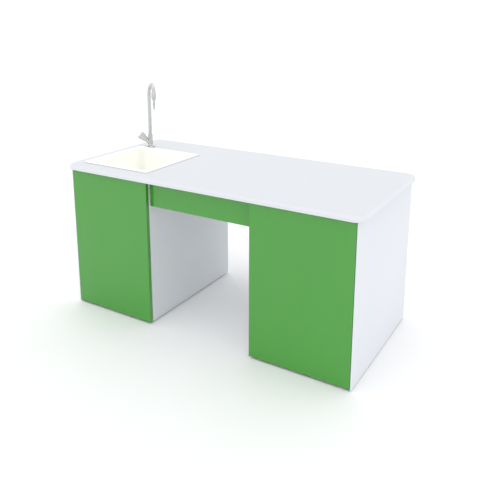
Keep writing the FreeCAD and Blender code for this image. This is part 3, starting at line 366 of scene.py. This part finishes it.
def make_sink_seal():
    """Quarter-round bead of sealant where the sink's rim meets the worktop. The bead is real; its grey tone is
    painted shade, drawing the shade line along the rim.
    """
    low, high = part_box("sink_bowl")
    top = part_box("worktop")[1].z
    middle = (low + high) / 2
    half = (high - low) / 2
    section = [(0.0, -SEAL_SINK_IN)]
    for step in range(SEAL_STEPS + 1):
        angle = QUARTER_TURN * step / SEAL_STEPS
        section.append((SEAL_WIDTH * math.sin(angle), SEAL_HEIGHT * math.cos(angle)))
    section.append((SEAL_WIDTH, -SEAL_SINK_IN))
    shape = bmesh.new()
    loops = [rounded_loop(shape, middle, half.x + out, half.y + out, SINK_CORNER + out, top + up)
             for out, up in section]
    for ring, following in zip(loops, loops[1:] + loops[:1]):
        bmesh.ops.bridge_loops(shape, edges=ring + following)
    add_piece("sink_seal", shape, "desk", "white_plastic", finish="sealant")


PIPE_RADIUS = 0.0101
SLEEVE_LIP = 0.0112
SLEEVE_BELLY = 0.0133
SLEEVE_SWELL = 0.014
SLEEVE_STRAIGHT = 0.012
SLEEVE_TAPER = 0.031
SLEEVE_STEPS = 10
SLEEVE_SOCKET = 0.044
NOZZLE_NECK = 0.0058
NOZZLE_BARB = 0.0070
NOZZLE_BARBS = 3
BARB_SLOPE_SHARE = 0.25
NOZZLE_TIP = 0.0050
NOZZLE_TIP_LENGTH = 0.022
NOZZLE_BORE = 0.0035
NOZZLE_EASE = 0.0008


def eased(start, end, share):
    """A value that leaves start and reaches end without a kink."""
    return start + (end - start) * (1 - math.cos(math.pi * share)) / 2


def make_outlet_nozzle():
    """Bulbous sleeve on the end of the spout, drawn in to a barbed hose nozzle with a plain tip."""
    low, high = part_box("spout_nozzle")
    length = high.z - low.z
    socket_end = length - SLEEVE_SOCKET
    outline = [(NOZZLE_BORE, socket_end), (PIPE_RADIUS, socket_end), (PIPE_RADIUS, length),
               (SLEEVE_LIP - NOZZLE_EASE, length), (SLEEVE_LIP, length - NOZZLE_EASE)]
    for step in range(1, SLEEVE_STEPS + 1):
        share = step / SLEEVE_STEPS
        outline.append((eased(SLEEVE_LIP, SLEEVE_BELLY, share), length - SLEEVE_SWELL * share))
    taper_top = length - SLEEVE_SWELL - SLEEVE_STRAIGHT
    for step in range(SLEEVE_STEPS + 1):
        share = step / SLEEVE_STEPS
        outline.append((eased(SLEEVE_BELLY, NOZZLE_NECK, share), taper_top - SLEEVE_TAPER * share))
    barbs_top = taper_top - SLEEVE_TAPER
    barb_length = (barbs_top - NOZZLE_TIP_LENGTH) / NOZZLE_BARBS
    for barb in range(NOZZLE_BARBS):
        start = barbs_top - barb * barb_length
        outline.append((NOZZLE_BARB, start - BARB_SLOPE_SHARE * barb_length))
        outline.append((NOZZLE_TIP, start - barb_length))
    outline += [(NOZZLE_TIP, NOZZLE_EASE), (NOZZLE_TIP - NOZZLE_EASE, 0), (NOZZLE_BORE, 0)]
    shape = bmesh.new()
    foot = ((low.x + high.x) / 2, (low.y + high.y) / 2, low.z)
    turn_outline(shape, outline, foot, closed=True)
    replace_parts(add_piece("outlet_nozzle", shape, "spout", "chrome"), "spout_nozzle")


HANDLE_END = 0.082
CAP_RADIUS = 0.0125
CAP_RISE = 0.0018
CAP_EDGE = 0.0010
CAP_STEPS = 6


def make_handle_cap():
    """Plain domed cap pressed into the outer end of the tap's handle."""
    joint = joint_named("handle_turn")
    axis = Vector(joint["axis"]).normalized()
    outline = [(0.0, -CAP_EDGE), (CAP_RADIUS, -CAP_EDGE), (CAP_RADIUS, CAP_EDGE / 2)]
    for step in range(1, CAP_STEPS + 1):
        angle = QUARTER_TURN * step / CAP_STEPS
        outline.append((CAP_RADIUS * math.cos(angle), CAP_EDGE / 2 + CAP_RISE * math.sin(angle)))
    shape = bmesh.new()
    turn_outline(shape, outline, Vector(joint["pos_m"]) + axis * HANDLE_END, axis)
    add_piece("handle_cap", shape, "handle", "white_plastic")


RIB_COUNT = 28
RIB_WIDTH = 0.0034
RIB_DEPTH = 0.0016
RIB_BEVEL = 0.0006
RIB_SEGMENTS = 2


def make_grip_ribs(name, node, below_top, length, radius):
    """Upright finger ribs all round a screwed collar near the top of one of the trap's pieces."""
    low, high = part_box("trap_cup")
    middle_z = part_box(node)[1].z - below_top - length / 2
    shape = bmesh.new()
    bmesh.ops.create_cube(shape, size=1)
    bmesh.ops.scale(shape, vec=(2 * RIB_DEPTH, RIB_WIDTH, length), verts=shape.verts)
    bmesh.ops.bevel(shape, geom=shape.edges[:], offset=RIB_BEVEL, affect="EDGES",
                    segments=RIB_SEGMENTS, profile=0.5, material=-1)
    bmesh.ops.translate(shape, vec=(radius, 0, middle_z), verts=shape.verts)
    bmesh.ops.spin(shape, geom=shape.verts[:] + shape.edges[:] + shape.faces[:], cent=(0, 0, 0),
                   axis=(0, 0, 1), angle=math.tau * (RIB_COUNT - 1) / RIB_COUNT, steps=RIB_COUNT - 1,
                   use_duplicate=True)
    bmesh.ops.translate(shape, vec=((low.x + high.x) / 2, (low.y + high.y) / 2, 0), verts=shape.verts)
    add_piece(name, shape, "desk", "white_plastic")


SCREW_RADIUS = 0.0034
SCREW_RISE = 0.0007
SCREW_SHOULDER = 0.75
SCREW_FOOT = 0.0005
CROSS_ARM = 0.0019
CROSS_WIDTH = 0.0009
CROSS_DEPTH = 0.0006


def only_verts(geometry):
    return [item for item in geometry if isinstance(item, bmesh.types.BMVert)]


def only_edges(geometry):
    return [item for item in geometry if isinstance(item, bmesh.types.BMEdge)]


def widen_rim(shape, rim, radius, height):
    """Draw a rim of edges out to a circle at a new height and return the new rim."""
    drawn = bmesh.ops.extrude_edge_only(shape, edges=rim)["geom"]
    for vert in only_verts(drawn):
        spoke = Vector((vert.co.x, vert.co.y)).normalized() * radius
        vert.co = (spoke.x, spoke.y, height)
    return [edge for edge in only_edges(drawn)
            if edge.is_boundary and abs(edge.verts[0].co.z - edge.verts[1].co.z) < WELD]


def add_screw_head(shape):
    """Low round head with a cross recess, made about the upright axis with its foot below nought."""
    grid = bmesh.ops.create_grid(shape, x_segments=3, y_segments=3, size=1)["verts"]
    for vert in grid:
        # The grid's outer lines lie at 1 and its inner ones at a third
        half = [CROSS_ARM if abs(part) > 0.5 else CROSS_WIDTH / 2 for part in vert.co.xy]
        vert.co = (math.copysign(half[0], vert.co.x), math.copysign(half[1], vert.co.y), SCREW_RISE)
    rim = [edge for edge in shape.edges if edge.is_boundary]
    cross = [face for face in shape.faces
             if min(abs(part) for part in face.calc_center_median().xy) < CROSS_WIDTH / 2]
    sunk = bmesh.ops.extrude_face_region(shape, geom=cross)["geom"]
    bmesh.ops.delete(shape, geom=cross, context="FACES_ONLY")
    bmesh.ops.translate(shape, vec=(0, 0, -CROSS_DEPTH), verts=only_verts(sunk))
    rim = widen_rim(shape, rim, SCREW_RADIUS * SCREW_SHOULDER, SCREW_RISE)
    rim = widen_rim(shape, rim, SCREW_RADIUS, SCREW_RISE / 2)
    rim = widen_rim(shape, rim, SCREW_RADIUS, -SCREW_FOOT)
    bmesh.ops.edgeloop_fill(shape, edges=rim)


def make_screws(name, places):
    """The same screw head at each place, turned to look the given way."""
    shape = bmesh.new()
    add_screw_head(shape)
    pattern = shape.verts[:] + shape.edges[:] + shape.faces[:]
    for place, facing in places:
        head = bmesh.ops.duplicate(shape, geom=pattern)["geom"]
        bmesh.ops.transform(shape, matrix=axis_frame(place, facing), verts=only_verts(head))
    bmesh.ops.delete(shape, geom=only_verts(pattern), context="VERTS")
    add_piece(name, shape, "desk", "steel")


PIVOT_LEG = 0.002
PIVOT_SCREW_IN = (0.009, 0.023)
PIVOT_SCREW_HEIGHT = 0.009
LATCH_BASE = 0.0016
LATCH_EAR = 0.009
LATCH_BASE_LENGTH = 0.036
LATCH_BASE_CORNER = 0.004
LATCH_CORNER_SEGMENTS = 5
LATCH_SCREW_OUT = 0.0045
LEFT = (-1, 0, 0)
RIGHT = (1, 0, 0)
FORWARD = (0, -1, 0)


def make_pivot_screws():
    """Two screws in the leg of each pivot plate, upper and lower, on both sides."""
    places = []
    for side in ("left", "right"):
        low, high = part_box(side + "_door_pivots")
        start, inward = (high.x, -1) if side == "left" else (low.x, 1)
        front = high.y - PIVOT_LEG
        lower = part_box(side + "_bottom")[0].z + PIVOT_SCREW_HEIGHT
        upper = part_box(side + "_front_rail")[1].z - PIVOT_SCREW_HEIGHT
        for along in PIVOT_SCREW_IN:
            for height in (lower, upper):
                places.append(((start + inward * along, front, height), FORWARD))
    make_screws("pivot_screws", places)


def make_latch_bases():
    """Eared base plate that each push latch is screwed down by."""
    screws = []
    for side, facing in (("left", LEFT), ("right", RIGHT)):
        low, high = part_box(side + "_latch_body")
        middle = (low + high) / 2
        wall = high.x if side == "left" else low.x
        tall = (high.z - low.z) / 2 + LATCH_EAR
        shape = bmesh.new()
        bmesh.ops.create_cube(shape, size=1)
        bmesh.ops.scale(shape, vec=(LATCH_BASE, LATCH_BASE_LENGTH, 2 * tall), verts=shape.verts)
        corners = [edge for edge in shape.edges
                   if abs(edge.verts[0].co.x - edge.verts[1].co.x) > LATCH_BASE / 2]
        bmesh.ops.bevel(shape, geom=corners, offset=LATCH_BASE_CORNER, affect="EDGES",
                        segments=LATCH_CORNER_SEGMENTS, profile=0.5, material=-1)
        seat = wall + facing[0] * LATCH_BASE / 2
        bmesh.ops.translate(shape, vec=(seat, middle.y, middle.z), verts=shape.verts)
        add_piece(side + "_latch_base", shape, "desk", "grey_plastic")
        surface = wall + facing[0] * LATCH_BASE
        for up in (-1, 1):
            height = middle.z + up * (tall - LATCH_SCREW_OUT)
            screws.append(((surface, middle.y, height), facing))
    make_screws("latch_screws", screws)


make_sink_seal()
make_outlet_nozzle()
make_handle_cap()
make_grip_ribs("trap_cup_ribs", "trap_cup", below_top=0.005, length=0.037, radius=0.042)
make_grip_ribs("trap_collar_ribs", "trap_body", below_top=0.004, length=0.022, radius=0.031)
make_pivot_screws()
make_latch_bases()

# Studio: pale floor, white surroundings, one large soft light

FLOOR_SIZE = 60.0
TENT_LIGHT = 1.15
WHITE_BOUNCES = 16
SENSOR_WIDTH = 36
LENS = 45.18
LENS_SHIFT = -0.18
FAR_CLIP = 200
CAMERA_PLACE = (1.5144, -2.4299, 1.5100)
CAMERA_LOOKS_DOWN = math.radians(13.264)
CAMERA_TURN = math.radians(31.543)


def make_floor():
    shape = bmesh.new()
    bmesh.ops.create_grid(shape, x_segments=1, y_segments=1, size=FLOOR_SIZE / 2)
    mesh = bpy.data.meshes.new("studio_floor")
    shape.to_mesh(mesh)
    shape.free()
    floor = bpy.data.objects.new("studio_floor", mesh)
    bpy.context.scene.collection.objects.link(floor)
    material = new_finish("studio_floor", Specular_IOR_Level=0.2)
    colour_between(material, cloud(material, per_metre=1.5, detail=2.0),
                   dark=(0.855, 0.86, 0.865), light=(0.865, 0.87, 0.875))
    roughness_between(material, cloud(material, per_metre=4, detail=2.0), smooth=0.55, rough=0.65)
    mesh.materials.append(material)


def make_surroundings():
    """The same white light from all round, as in a light tent."""
    world = bpy.data.worlds.new("light_tent")
    bpy.context.scene.world = world
    world.use_nodes = True
    background = world.node_tree.nodes["Background"]
    background.inputs["Color"].default_value = (1.0, 1.0, 1.0, 1)
    background.inputs["Strength"].default_value = TENT_LIGHT


def soft_sun(name, towards, strength, spread):
    """Even light from one side; spread is the angle in degrees that its source fills."""
    data = bpy.data.lights.new(name, "SUN")
    data.energy = strength
    data.angle = math.radians(spread)
    light = bpy.data.objects.new(name, data)
    light.rotation_euler = Vector(towards).to_track_quat("Z", "Y").to_euler()
    bpy.context.scene.collection.objects.link(light)


def make_camera():
    data = bpy.data.cameras.new("camera")
    data.sensor_width = SENSOR_WIDTH
    data.lens = LENS
    data.shift_y = LENS_SHIFT
    data.clip_end = FAR_CLIP
    camera = bpy.data.objects.new("camera", data)
    camera.location = CAMERA_PLACE
    camera.rotation_euler = (QUARTER_TURN - CAMERA_LOOKS_DOWN, 0, CAMERA_TURN)
    bpy.context.scene.collection.objects.link(camera)
    bpy.context.scene.camera = camera


make_floor()
make_surroundings()
soft_sun("overhead", towards=(0.05, -0.20, 0.98), strength=0.45, spread=60)
make_camera()
bpy.context.scene.view_settings.view_transform = "Standard"
bpy.context.scene.cycles.diffuse_bounces = WHITE_BOUNCES
bpy.context.scene.cycles.max_bounces = WHITE_BOUNCES
